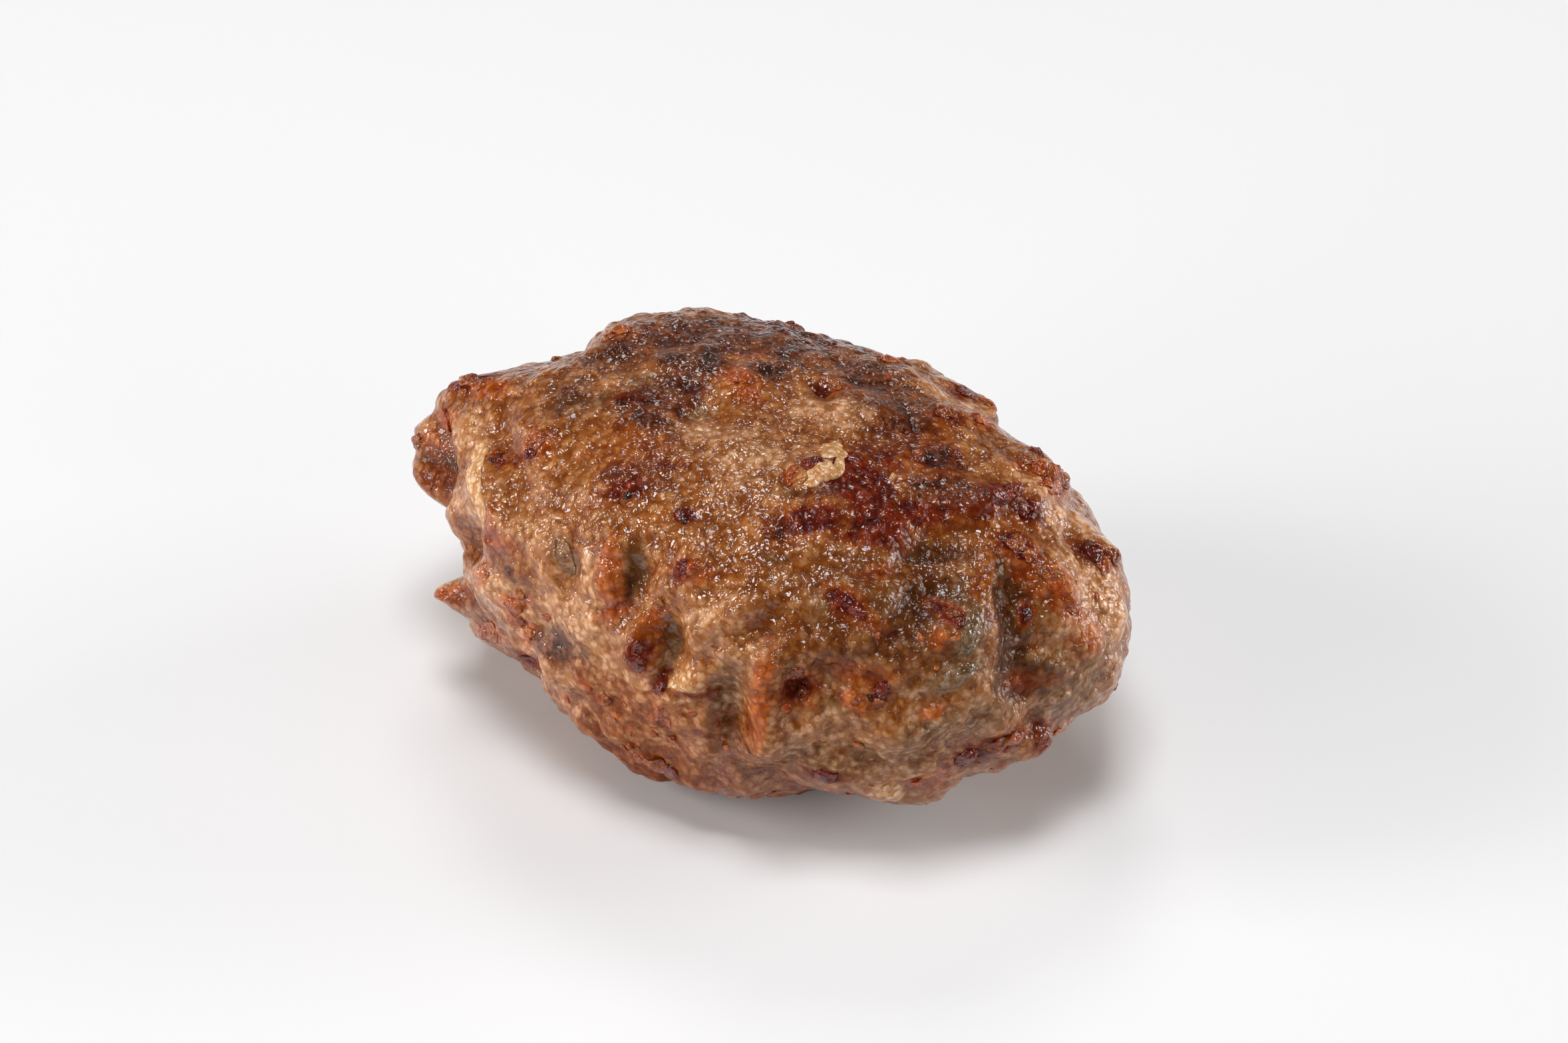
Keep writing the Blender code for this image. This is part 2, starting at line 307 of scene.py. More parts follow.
ORANGE_SEEN = dict(
    slot=(1254, 584, -18, 26, 6, 1.3),
    ear_corner=(724, 582, 0, 26, 11, 1.6),
    ear=(676, 636, 40, 18, 14, 0.9),
    ear_tip=(652, 668, 60, 22, 12, 0.6),
    left_patch=(802, 666, 30, 24, 13, 1.2),
    left_speck=(981, 678, 0, 7, 6, 1.4),
    patch_top=(1112, 566, -20, 34, 20, 0.8),
    patch_top_low=(1126, 590, -20, 30, 13, 0.7),
    arc_top=(1136, 535, 5, 30, 5, 1.6),
    top_right_speck=(1228, 538, 0, 8, 6, 1.0),
    onion_rim=(1205, 716, 0, 36, 10, 0.8),
    rear_lump=(930, 498, 0, 36, 16, 0.8),
    below_patch=(1270, 801, 30, 18, 11, 1.5),
    cluster=(1570, 702, -25, 30, 10, 1.2),
    cluster_low=(1592, 727, -40, 22, 13, 1.6),
    ridge_right=(1592, 892, -40, 44, 14, 1.7),
    ridge_right_top=(1572, 858, -20, 24, 14, 1.5),
    ridge_right_end=(1612, 916, -30, 24, 14, 1.4),
    right_low=(1640, 962, 60, 34, 18, 0.8),
    red_crumb_side=(1056, 862, 0, 22, 16, 1.1),
    hollow_left=(912, 868, 85, 50, 14, 1.5),
    hollow_left_low=(925, 920, 30, 24, 12, 1.0),
    hollow_deep=(974, 948, 70, 34, 14, 1.2),
    knob_low_left=(742, 950, 40, 26, 20, 1.4),
    bulge_left=(720, 860, 80, 26, 12, 0.9),
    bulge_side=(770, 908, 0, 22, 11, 1.2),
    bulge_low=(781, 932, 0, 12, 10, 1.1),
    bulge_yellow=(796, 958, 80, 14, 11, 1.2),
    spike=(682, 888, 70, 12, 7, 1.2),
    lump_left=(745, 812, -20, 26, 15, 1.0),
    lip_left=(735, 792, 80, 30, 8, 0.9),
    rib=(1140, 1060, 85, 60, 13, 1.5),
    right_of_rib=(1152, 1020, 80, 44, 15, 0.9),
    blister_bright=(1290, 1060, -10, 20, 13, 1.3),
    crumb_low=(1410, 962, 60, 20, 14, 0.8),
    low_right_pool=(1540, 1025, 10, 44, 16, 0.6),
    bottom_left=(978, 1143, -30, 26, 11, 1.8),
    bottom_left_low=(1004, 1158, -20, 22, 7, 1.2),
    streak_left=(905, 1056, -40, 66, 7, 1.0),
    patch_low=(986, 1074, 70, 18, 11, 1.0),
    bottom_bump=(1376, 1174, 0, 13, 12, 1.3),
    bottom_side=(1412, 1166, 50, 20, 10, 1.0),
    pool_right=(1400, 1066, 20, 24, 9, 0.9),
    spur=(1472, 632, -20, 18, 12, 1.0),
    spur_tip=(1336, 541, 0, 14, 8, 1.0),
)
CRUSTED_SEEN = dict(
    dark_patch_top=(1330, 690, -40, 46, 20, 1.0),
    left_band=(945, 650, 75, 90, 30, 0.45),
    right_mauve=(1400, 690, -40, 50, 28, 0.9),
    dark_patch=(1290, 728, -60, 52, 38, 1.8),
    dark_patch_low=(1320, 780, -25, 52, 30, 1.6),
    dark_patch_left=(1215, 782, 15, 52, 24, 1.3),
    dark_patch_foot=(1300, 812, -6, 66, 12, 1.1),
    right_of_patch=(1385, 770, -8, 50, 20, 1.2),
    right_band=(1452, 762, -10, 64, 16, 1.1),
    right_red=(1502, 742, 10, 34, 15, 1.5),
    right_brown=(1540, 768, -40, 30, 18, 1.2),
    rim_brown=(1425, 624, -10, 26, 13, 1.0),
    band_brown=(1375, 650, -15, 46, 13, 0.8),
    knob_right=(1640, 830, -70, 20, 15, 1.0),
    right_orange_red=(1530, 820, -40, 28, 20, 1.2),
    left_mahogany=(940, 732, 20, 34, 17, 1.2),
    left_spot=(940, 744, 0, 9, 6, 1.9),
    left_purple=(932, 700, 30, 34, 26, 0.7),
    left_mid=(974, 672, -60, 50, 36, 0.5),
    left_low=(1004, 700, 10, 26, 9, 0.9),
    char_edge=(950, 596, 10, 30, 8, 1.3),
    char_edge_right=(1045, 590, 10, 18, 8, 1.2),
    left_red=(760, 690, -5, 22, 10, 1.2),
    left_red_right=(796, 684, 20, 10, 6, 1.2),
    speck=(1030, 779, -20, 12, 10, 2.2),
    red_crumb=(1029, 856, 40, 18, 14, 1.6),
    ear_corner=(700, 572, 10, 20, 13, 1.6),
    ear_lobe=(658, 728, 80, 24, 18, 0.7),
    spike_foot=(692, 900, -25, 14, 7, 0.7),
    knob_foot=(786, 992, -35, 30, 11, 1.2),
    dark_lump=(958, 990, 75, 30, 18, 1.2),
    dark_lump_right=(990, 1032, 60, 18, 12, 1.1),
    hump_red=(1270, 906, -30, 28, 18, 1.3),
    hump_brown=(1322, 862, 10, 26, 10, 0.9),
    hump_low=(1298, 932, -20, 34, 14, 0.8),
    crumb_red=(1432, 926, -40, 20, 14, 1.4),
    crumb_low_dark=(1325, 1040, 60, 15, 12, 1.5),
    blister_dark=(1200, 1032, 20, 32, 22, 1.1),
    blister_right=(1298, 1012, 0, 46, 18, 0.7),
    crumb_far_right=(1544, 924, 80, 17, 8, 1.5),
    bottom_mid=(1242, 1171, -5, 28, 8, 1.3),
    shelf_left=(1456, 1138, 15, 28, 13, 1.2),
    shelf_right=(1512, 1116, 20, 36, 10, 1.2),
    rim_low=(1568, 1108, 20, 17, 13, 1.4),
    below_nub=(1040, 1046, 0, 34, 7, 1.0),
    valley_red=(1480, 865, 60, 34, 12, 0.7),
    rib=(1128, 1094, 80, 22, 9, 0.6),
    spur_red=(1452, 590, -20, 22, 11, 1.0),
)
CHARRED_SEEN = dict(
    ridge_back=(1060, 505, 4, 150, 36, 1.0),
    ridge_back_right=(1165, 492, -10, 55, 16, 1.2),
    core_back=(1066, 535, 80, 20, 16, 1.9),
    core_back_left=(1012, 540, 20, 17, 14, 1.6),
    core_far_left=(937, 518, 10, 18, 12, 1.5),
    far_left=(925, 532, 10, 34, 16, 0.9),
    left_end=(876, 546, 20, 34, 13, 0.7),
    core_by_orange=(1152, 557, 10, 20, 12, 1.8),
    core_between=(1035, 575, 50, 26, 15, 1.4),
    mid=(988, 603, 5, 56, 18, 1.1),
    mid_low=(962, 625, -20, 48, 20, 0.8),
    left=(852, 592, 80, 34, 26, 0.8),
    core_right=(1187, 530, 60, 30, 20, 1.3),
    band_back_right=(1300, 565, -28, 90, 28, 0.9),
    band_far_right=(1345, 618, -50, 56, 32, 0.9),
    core_far_right=(1418, 687, -30, 30, 16, 1.4),
    right=(1420, 735, -10, 54, 24, 1.0),
    patch_low_left=(1180, 800, 20, 20, 12, 1.0),
    left_core=(918, 712, 60, 20, 14, 1.0),
    low_left_purple=(845, 968, -15, 44, 22, 0.8),
    low_left_dark=(833, 974, 0, 20, 9, 1.2),
    speck_left=(764, 862, 80, 10, 7, 1.4),
)
# Pits: sunk into the meat and painted with the crust colour as shade
SHADED_PIT_SEEN = dict(
    slot_right=(1238, 587, -14, 28, 5, 0.9),
    under_nub=(1000, 1010, 60, 12, 8, 0.6),
    cave_right=(1345, 955, 0, 26, 9, 0.6),
    blister_pit=(1200, 1032, 20, 20, 12, 0.9),
)
NET_SEEN = dict(
    low_front=(1180, 1090, -5, 190, 60, 1.2),
    low_right=(1440, 1060, 15, 150, 56, 1.1),
    low_left=(930, 1075, -35, 110, 60, 1.2),
    right_flank=(1610, 1010, 50, 80, 44, 0.7),
    bottom=(1260, 1150, -5, 170, 30, 1.0),
)
SMOOTH_SEEN = dict(
    top_plateau=(1150, 690, -15, 100, 60, 0.6),
)
SEEN_PATCHES = dict(
    pale_and_lit=PALE_AND_LIT_SEEN,
    grey_and_shade=GREY_AND_SHADE_SEEN,
    painted_shade=PAINTED_SHADE_SEEN,
    orange=ORANGE_SEEN,
    crust=CRUSTED_SEEN,
    char=CHARRED_SEEN,
    shaded_pit=SHADED_PIT_SEEN,
    net=NET_SEEN,
    smooth=SMOOTH_SEEN,
)

# Patches on the sides that it doesn't show, and broad ones on those that it does: bearing,
# height, half sizes in millimetres, turn and strength
PALE_BY_BEARING = dict(
    back_high=(84, 32, 3.2, 2.0, 150, 1.0),
    back_left=(134, 16, 3.0, 2.2, 20, 1.0),
    back_right=(50, 18, 2.4, 1.8, 110, 1.0),
    back_nub=(118, 6, 1.1, 0.9, 0, 1.6),
    back_low=(108, -14, 3.6, 1.6, 10, 0.8),
)
# Grey patches: grey-beige meat and onion, and painted shade low on the sides
GREY_AND_SHADE_BY_BEARING = dict(
    back_mid=(120, -2, 3.4, 1.4, 150, 1.1),
    back_low=(98, -20, 6.0, 2.0, 0, 1.1),
    back_right=(56, -14, 4.0, 1.8, 20, 1.0),
    back_left=(156, -16, 3.6, 1.8, 160, 1.0),
    end=(24, -12, 3.0, 2.0, 0, 0.9),
    back_onion=(88, 16, 1.7, 0.8, 60, 1.5),
)
# Painted shade in a fold at the back and low on the back and front
PAINTED_SHADE_BY_BEARING = dict(
    back_fold=(112, 2, 3.4, 1.2, 40, 1.0),
    back_low=(92, -34, 8.0, 2.0, 0, 1.0),
    front_low=(290, -42, 12.0, 2.6, 0, 0.9),
)
ORANGE_BY_BEARING = dict(
    back_high=(110, 24, 1.8, 1.2, 30, 1.2),
    back_left=(154, 2, 2.0, 1.2, 100, 1.3),
    back_mid=(104, -2, 2.2, 1.0, 160, 1.2),
    back_right=(72, 12, 1.6, 1.2, 40, 1.3),
    back_low=(70, -20, 2.4, 1.0, 170, 1.1),
    back_low_left=(140, -16, 2.0, 1.6, 0, 1.2),
    end=(38, 10, 1.4, 1.0, 80, 1.3),
)
CRUSTED_BY_BEARING = dict(
    back_top=(124, 32, 4.6, 1.8, 160, 1.2),
    back_mid=(94, 8, 4.0, 2.0, 20, 1.2),
    back_left=(142, -4, 3.0, 1.6, 120, 1.1),
    back_right=(58, 4, 2.6, 1.8, 60, 1.2),
    back_low=(84, -26, 4.4, 1.4, 170, 1.1),
    back_low_left=(128, -24, 3.0, 1.3, 20, 1.0),
    end_left=(170, 6, 2.2, 1.5, 70, 1.1),
    end_right=(32, -6, 1.8, 2.6, 10, 1.0),
    underside=(0, -90, 13.0, 9.0, 0, 1.2),
)
CHARRED_BY_BEARING = dict(
    back_top=(96, 44, 5.0, 2.6, 20, 0.9),
    back_left=(150, 12, 2.0, 1.4, 30, 1.1),
    back_right=(66, 22, 2.6, 1.2, 150, 1.0),
    back_low=(112, -8, 1.6, 1.1, 60, 1.3),
    end=(178, -14, 1.4, 1.0, 0, 1.1),
    back_core=(104, 20, 0.9, 0.7, 10, 1.7),
    back_core_left=(136, 30, 0.8, 0.7, 80, 1.6),
    back_core_low=(82, -6, 0.8, 0.6, 40, 1.6),
)
NET_BY_BEARING = dict(
    back_left=(140, -20, 9, 4, 0, 1.0),
    back_right=(70, -22, 12, 4, 0, 1.0),
    end=(20, -18, 8, 4, 0, 0.8),
)
SMOOTH_BY_BEARING = dict(
    plateau=(300, 78, 13, 9, 0, 1.2),
    front_slope=(305, 44, 9, 5, 0, 1.0),
    left_slope=(232, 30, 7, 4, 0, 0.7),
    left_ridge=(250, 10, 3, 6, 0, 0.8),
)
PATCHES_BY_BEARING = dict(
    pale_and_lit=PALE_BY_BEARING,
    grey_and_shade=GREY_AND_SHADE_BY_BEARING,
    painted_shade=PAINTED_SHADE_BY_BEARING,
    orange=ORANGE_BY_BEARING,
    crust=CRUSTED_BY_BEARING,
    char=CHARRED_BY_BEARING,
    net=NET_BY_BEARING,
    smooth=SMOOTH_BY_BEARING,
)

# Bits that the photo shows, by pixels like the patches, their last value being their tone
ONION_BITS = dict(
    ring_chip=(1240, 706, 25, 28, 19, 0.29),
    ring_chip_top=(1252, 677, 25, 19, 12, 0.3),
    ring_chip_side=(1264, 698, 80, 17, 9, 0.32),
    ring_chip_low=(1206, 714, 35, 22, 14, 0.02),
    strip_left=(710, 714, 84, 54, 13, 0.3),
    strip_upper=(702, 652, 70, 24, 12, 0.24),
    middle_left=(848, 838, -72, 40, 14, 0.62),
    right_flake=(1464, 950, 78, 42, 18, 0.85),
    right_flake_low=(1442, 1012, 30, 34, 16, 0.8),
    bottom_bit=(1338, 1192, 15, 15, 11, 0.3),
    nub=(1022, 1025, 15, 19, 16, 0.32),
    nub_low=(1034, 1036, 20, 10, 7, 0.3),
    yellow_top=(1076, 602, 20, 13, 10, 0.15),
    ring_top=(1047, 624, 40, 12, 8, 0.6),
    front_chip=(1238, 914, 60, 15, 10, 0.6),
    chip_right=(1344, 717, 70, 7, 4, 0.4),
)
CRISP_CRUMBS = dict(
    ring_rust=(1190, 712, 70, 16, 7, 0.68),
    ring_pit=(1219, 695, -10, 15, 10, 0.28),
    knob_right=(1642, 828, -75, 17, 12, 0.33),
    knob_right_low=(1656, 848, -40, 13, 11, 0.6),
    knob_far_right=(1676, 836, -30, 11, 9, 0.42),
    cluster_a=(1548, 690, -30, 13, 8, 0.5),
    cluster_b=(1566, 700, -20, 15, 10, 0.7),
    cluster_c=(1584, 708, -30, 14, 11, 0.6),
    cluster_d=(1598, 722, -60, 14, 10, 0.45),
    cluster_e=(1580, 732, -10, 16, 9, 0.65),
    cluster_f=(1560, 678, -20, 10, 7, 0.35),
    red_a=(1524, 736, 20, 12, 9, 0.38),
    red_b=(1508, 746, -10, 13, 9, 0.3),
    red_c=(1534, 762, -50, 16, 11, 0.35),
    red_d=(1528, 818, -30, 16, 12, 0.45),
    red_e=(1546, 836, -30, 10, 9, 0.6),
    crumb_right_a=(1436, 918, -30, 12, 9, 0.4),
    crumb_right_b=(1446, 938, 70, 10, 7, 0.25),
    crumb_right_c=(1440, 957, 25, 13, 5, 0.85),
    crumb_low_a=(1326, 1036, 70, 14, 11, 0.25),
    crumb_low_b=(1308, 1050, 0, 7, 6, 0.15),
    crumb_low_bright=(1292, 1058, -15, 17, 12, 0.5),
    crumb_low_left=(1196, 1012, 30, 12, 8, 0.4),
    red_crumb=(1022, 854, 60, 13, 10, 0.33),
    red_crumb_side=(1042, 848, 20, 14, 10, 0.6),
    speck=(1029, 779, -60, 8, 6, 0.12),
    left_spot=(940, 744, 10, 7, 5, 0.05),
    left_a=(798, 680, 30, 9, 6, 0.3),
    left_b=(766, 688, -10, 9, 6, 0.5),
    left_c=(752, 694, 30, 7, 5, 0.35),
    left_patch=(806, 662, 30, 17, 10, 0.6),
    ear_corner=(704, 572, -30, 12, 10, 0.55),
    ear_corner_low=(724, 580, 0, 16, 8, 0.6),
    ear_tip=(626, 664, 20, 8, 6, 0.45),
    ear_mid=(672, 632, 60, 13, 10, 0.7),
    spike_tip=(664, 891, 10, 6, 5, 0.75),
    knob_low_left=(738, 948, 30, 20, 17, 0.6),
    bulge_side=(768, 912, 0, 14, 8, 0.65),
    bulge_low=(782, 932, -20, 8, 7, 0.6),
    bulge_yellow=(797, 957, 80, 10, 7, 0.8),
    foot_left=(790, 990, -35, 17, 8, 0.3),
    bottom_left_a=(972, 1140, -30, 15, 9, 0.6),
    bottom_left_b=(990, 1148, -10, 12, 8, 0.55),
    bottom_left_c=(1008, 1157, -20, 13, 6, 0.35),
    bottom_mid=(1242, 1171, -5, 18, 6, 0.3),
    bottom_side=(1376, 1174, 10, 11, 9, 0.65),
    shelf_a=(1456, 1138, 15, 18, 9, 0.35),
    shelf_b=(1500, 1120, 25, 16, 7, 0.5),
    shelf_c=(1524, 1110, 25, 14, 7, 0.6),
    rim_low=(1570, 1106, 30, 14, 10, 0.4),
    ridge_a=(1576, 864, -40, 17, 11, 0.5),
    ridge_b=(1592, 886, -40, 17, 11, 0.65),
    ridge_c=(1612, 908, -40, 17, 11, 0.6),
    valley_crumb=(1544, 924, 80, 12, 6, 0.2),
    lump_a=(956, 975, 60, 11, 8, 0.35),
    lump_b=(962, 1004, 80, 13, 8, 0.35),
    lump_c=(992, 1032, 50, 11, 8, 0.3),
    hump_a=(1268, 900, -30, 13, 8, 0.3),
    hump_b=(1286, 920, -30, 13, 8, 0.35),
    rim_a=(1424, 622, -10, 15, 8, 0.45),
    rim_b=(1472, 632, -20, 12, 8, 0.75),
    rim_c=(1452, 590, -20, 13, 7, 0.35),
    spur=(1484, 606, 60, 12, 9, 0.8),
    rear_a=(926, 498, 10, 18, 9, 0.8),
    rear_b=(1336, 541, 0, 11, 7, 0.7),
    top_a=(1112, 566, -20, 18, 10, 0.75),
    top_b=(1128, 588, -20, 15, 8, 0.7),
    low_left_a=(987, 1074, 70, 11, 7, 0.6),
)

# The camera stands where the photo's did
PHOTO_WIDTH = 2357.0
PHOTO_HEIGHT = 1568.0
SENSOR_WIDTH = 36.0
CAMERA_AZIMUTH = 28.0
CAMERA_ELEVATION = 38.0
CAMERA_DISTANCE = 278.0
CAMERA_LENS = 100.0
AIM_HEIGHT = 13.0
AIM_RIGHT = 0.93
AIM_UP = 1.06
NEAREST_SHOWN = 10.0

# A patch has half its strength at its half sizes, so it fades out this much further off
PATCH_SPREAD = 1.3

# A pixel stands for the nearest point within this many pixels of it that is at most this far
# behind the foremost one
PIXEL_REACH = 7.0
FRONT_DEPTH = 1.5

# What lies on a slope is at most this many times as long as it looks, and a slope counts as
# facing the camera by at least this much
MOST_SLANT = 1.8
LEAST_FACING = 0.1


def ball_of_triangles(cuts):
    """Directions and triangles of a twenty-sided ball with this many cuts in each edge."""
    shell = bmesh.new()
    bmesh.ops.create_icosphere(shell, subdivisions=1, radius=1.0)
    bmesh.ops.subdivide_edges(shell, edges=shell.edges[:], cuts=cuts, use_grid_fill=True)
    shell.verts.index_update()
    directions = np.array([(vert.co.normalized() * SPREAD).normalized() for vert in shell.verts])
    triangles = [[vert.index for vert in face.verts] for face in shell.faces]
    shell.free()
    return directions, triangles


def smooth_body(directions):
    """Points of the plain oval in these directions, about its middle."""
    x, y, z = directions.T
    plan = np.hypot(2.0 * x / LENGTH, 2.0 * y / WIDTH)
    rise = np.abs(z) / np.where(z > 0.0, RISE_ABOVE_MIDDLE, DROP_BELOW_MIDDLE)
    reach = (plan**PROFILE_POWER + rise**PROFILE_POWER) ** (-1.0 / PROFILE_POWER)
    points = directions * reach[:, None]
    along = 2.0 * points[:, 0] / LENGTH
    points[:, 1] *= 1.0 + BROADER_END * along
    points[:, 2] *= 1.0 - THINNER_END * along
    pressed = RISE_ABOVE_MIDDLE - PRESS_DEPTH
    below = (pressed - points[:, 2]) / PRESS_SOFTNESS
    points[:, 2] = pressed - PRESS_SOFTNESS * np.logaddexp(0.0, below)
    return points


def lump_share(points, bearing, height, half_length, half_width, turn, pointed=False):
    """From 0 to 1, how far each point belongs to a lump seen in that direction."""
    b, h, t = np.radians([bearing, height, turn])
    outward = np.array([np.cos(h) * np.cos(b), np.cos(h) * np.sin(b), np.sin(h)])
    level = np.array([-np.sin(b), np.cos(b), 0.0])
    upward = np.cross(outward, level)
    across, up = points @ level, points @ upward
    along = (across * np.cos(t) + up * np.sin(t)) / half_length
    aside = (up * np.cos(t) - across * np.sin(t)) / half_width
    inside = np.clip(1.0 - np.hypot(along, aside) / LUMP_REACH, 0.0, 1.0)
    if pointed:
        share = np.minimum(inside / POINT_FLANK, 1.0) ** POINT_POWER
    else:
        share = inside**2 * (3.0 - 2.0 * inside)
    return np.where(points @ outward > 0.0, share, 0.0)


def smooth_noise(points, width, depth, shift):
    """Soft swells as wide as this, that stand out and sink in by up to this depth."""
    offset = Vector((shift, -shift, 2.0 * shift))
    return depth * np.array([noise.noise(Vector(point) / width + offset) for point in points])


def grains(points, width, depth, shift):
    """Rounded grains as wide as this, with creases between them."""
    offset = Vector((shift, shift, -shift))
    nearest = np.array([noise.voronoi(Vector(point) / width + offset)[0][0] for point in points])
    return depth * (0.5 - np.clip(nearest, 0.0, 1.0))


def relief(points):
    """How far the meat stands out from the smooth body at each point."""
    height = np.zeros(len(points))
    for lumps in (EDGE_LUMPS, FRONT_LUMPS, BACK_LUMPS):
        for *place, rise in lumps.values():
            height += rise * lump_share(points, *place)
    for *place, rise in EDGE_POINTS.values():
        height += rise * lump_share(points, *place, pointed=True)
    pressed = np.clip((np.abs(points[:, 2]) - FLANK_HALF_HEIGHT) / FLANK_FADE, 0.0, 1.0)
    grain = smooth_noise(points, *SWELLS) + smooth_noise(points, *RIPPLES)
    grain += grains(points, *LUMPS_OF_MINCE) + grains(points, *CRUMBS_OF_MINCE)
    return height + grain * (1.0 - (1.0 - GRAIN_WHEN_PRESSED) * pressed)


def patch_strength(points, places):
    """How strongly each point belongs to any of these patches."""
    strength = np.zeros(len(points))
    for bearing, height, half_length, half_width, turn, amount in places:
        sizes = (half_length * PATCH_SPREAD, half_width * PATCH_SPREAD)
        strength = np.maximum(strength, amount * lump_share(points, bearing, height, *sizes, turn))
    return strength


def view_axes(azimuth, elevation):
    """Right, up and back of a camera at this azimuth and elevation."""
    a, e = np.radians([azimuth, elevation])
    back = Vector((np.sin(a) * np.cos(e), -np.cos(a) * np.cos(e), np.sin(e)))
    right = Vector((np.cos(a), np.sin(a), 0.0))
    return right, back.cross(right), back


def camera_place():
    """The camera's own place, and its right, up and back."""
    right, up, back = view_axes(CAMERA_AZIMUTH, CAMERA_ELEVATION)
    aim = Vector((0.0, 0.0, AIM_HEIGHT)) + right * AIM_RIGHT + up * AIM_UP
    return aim + back * CAMERA_DISTANCE, right, up, back


def photo_pixels(points):
    """Each point's pixel in the photo's frame, and its depth from the camera."""
    eye, right, up, back = [np.array(axis) for axis in camera_place()]
    ray = points - eye
    depth = -(ray @ back)
    focal = CAMERA_LENS / SENSOR_WIDTH * PHOTO_WIDTH
    x = PHOTO_WIDTH / 2.0 + focal * (ray @ right) / depth
    y = PHOTO_HEIGHT / 2.0 - focal * (ray @ up) / depth
    return np.stack([x, y], axis=1), depth, depth / focal


def point_at_pixel(x, y, pixels, depth):
    """The number of the point that the camera sees at this pixel."""
    gap = np.hypot(pixels[:, 0] - x, pixels[:, 1] - y)
    near = np.flatnonzero(gap < PIXEL_REACH)
    if len(near) == 0:
        return np.argmin(gap)
    shown = near[depth[near] < depth[near].min() + FRONT_DEPTH]
    return shown[np.argmin(gap[shown])]


def on_slope(angle, point, normal):
    """A direction in the picture as it lies on a slope: how much longer it is there than it looks."""
    eye, right, up, _ = [np.array(axis) for axis in camera_place()]
    seen = np.cos(np.radians(angle)) * right + np.sin(np.radians(angle)) * up
    towards = (eye - point) / np.linalg.norm(eye - point)
    facing = max(towards @ normal, LEAST_FACING)
    laid = seen - towards * (seen @ normal) / facing
    length = np.linalg.norm(laid)
    return laid / length * min(length, MOST_SLANT)


def seen_places(rows, body, points):
    """Bearing, height, half sizes, turn and strength of patches given by the photo's pixels."""
    pixels, depth, scale = photo_pixels(points)
    places = []
    for x, y, angle, half_length, half_width, strength in rows:
        index = point_at_pixel(x, y, pixels, depth)
        normal = body[index] / np.array([LENGTH, WIDTH, RISE_ABOVE_MIDDLE + DROP_BELOW_MIDDLE]) ** 2
        normal /= np.linalg.norm(normal)
        outward = body[index] / np.linalg.norm(body[index])
        bearing = np.arctan2(outward[1], outward[0])
        level = np.array([-np.sin(bearing), np.cos(bearing), 0.0])
        upward = np.cross(outward, level)
        along = on_slope(angle, points[index], normal)
        aside = on_slope(angle + 90.0, points[index], normal)
        length = half_length * scale[index] * np.hypot(along @ level, along @ upward)
        width = half_width * scale[index] * np.hypot(aside @ level, aside @ upward)
        turn = np.degrees(np.arctan2(along @ upward, along @ level))
        height = np.degrees(np.arcsin(outward[2]))
        places.append((np.degrees(bearing), height, length, width, turn, strength))
    return places


def strands(points):
    """From 0 to 1, how far each point lies on one of the thin strands of a wandering net."""
    nearness = np.empty(len(points))
    for count, point in enumerate(points):
        spot = Vector(point) / STRANDS_APART
        spot += noise.noise_vector(spot * STRAND_BENDS) * STRAND_WANDER
        distances = noise.voronoi(spot)[0]
        nearness[count] = (distances[1] - distances[0]) * STRANDS_APART
    return np.clip(1.0 - nearness / (2.0 * STRAND_HALF_WIDTH), 0.0, 1.0)


def crags(points, width, depth, shift):
    """Sharp-edged crests as wide as this."""
    offset = Vector((-shift, shift, 0.5 * shift))
    waves = np.array([noise.noise(Vector(point) / width + offset) for point in points])
    return depth * (CRAG_MIDDLE - CRAG_STEEPNESS * np.abs(waves))


def fine_relief(points, shares, net):
    """Strands, grains and crags too small for the part's own solid."""
    height = smooth_noise(points, *FINE_RIPPLES)
    height += grains(points, *FINE_GRAINS) + grains(points, *FINEST_GRAINS)
    height *= 1.0 - np.clip(shares["smooth"], 0.0, MOST_SMOOTHING)
    browned = shares["crust"] + shares["orange"] + CHAR_CRAGS * shares["char"]
    browned = np.clip(browned - CRAGS_FROM, 0.0, 1.0)
    rough = crags(points, *CRAGS) + crags(points, *FINE_CRAGS)
    height += rough * browned + STRAND_RISE * net * np.clip(shares["net"], 0.0, 1.0)
    return height - PIT_DEPTH * np.clip(shares["shaded_pit"], 0.0, 1.0)


def blurred(values, edges, rounds):
    """The values after this many rounds of averaging with their neighbours'."""
    first, second = edges.T
    count = len(values)
    neighbours = np.bincount(first, minlength=count) + np.bincount(second, minlength=count)
    for _ in range(rounds):
        total = np.bincount(first, values[second], count)
        total += np.bincount(second, values[first], count)
        values = total / neighbours
    return values


def write_floats(mesh, name, values):
    layer = mesh.attributes.new(name, "FLOAT", "POINT")
    layer.data.foreach_set("value", values.astype(np.float32))


def edge_list(mesh):
    pairs = np.empty(len(mesh.edges) * 2, np.int32)
    mesh.edges.foreach_get("vertices", pairs)
    return pairs.reshape(-1, 2)


def placed_points(body, directions, height):
    """The surface in its place: its box centred over the origin, its foot cut flat at 0."""
    points = body + directions * height[:, None]
    points[:, 2] = np.maximum(points[:, 2] + MIDDLE_HEIGHT, 0.0)
    points[:, :2] -= (points[:, :2].min(axis=0) + points[:, :2].max(axis=0)) / 2.0
    return points


def new_object(name, data):
    """An object of this mesh, lamp or camera, in the scene."""
    item = bpy.data.objects.new(name, data)
    bpy.context.scene.collection.objects.link(item)
    return item


def new_piece(name, points, triangles, material):
    mesh = bpy.data.meshes.new(name)
    mesh.from_pydata((points * MM).tolist(), [], triangles)
    mesh.shade_smooth()
    mesh.materials.append(material)
    piece = new_object(name, mesh)
    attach(piece, "root")
    return piece


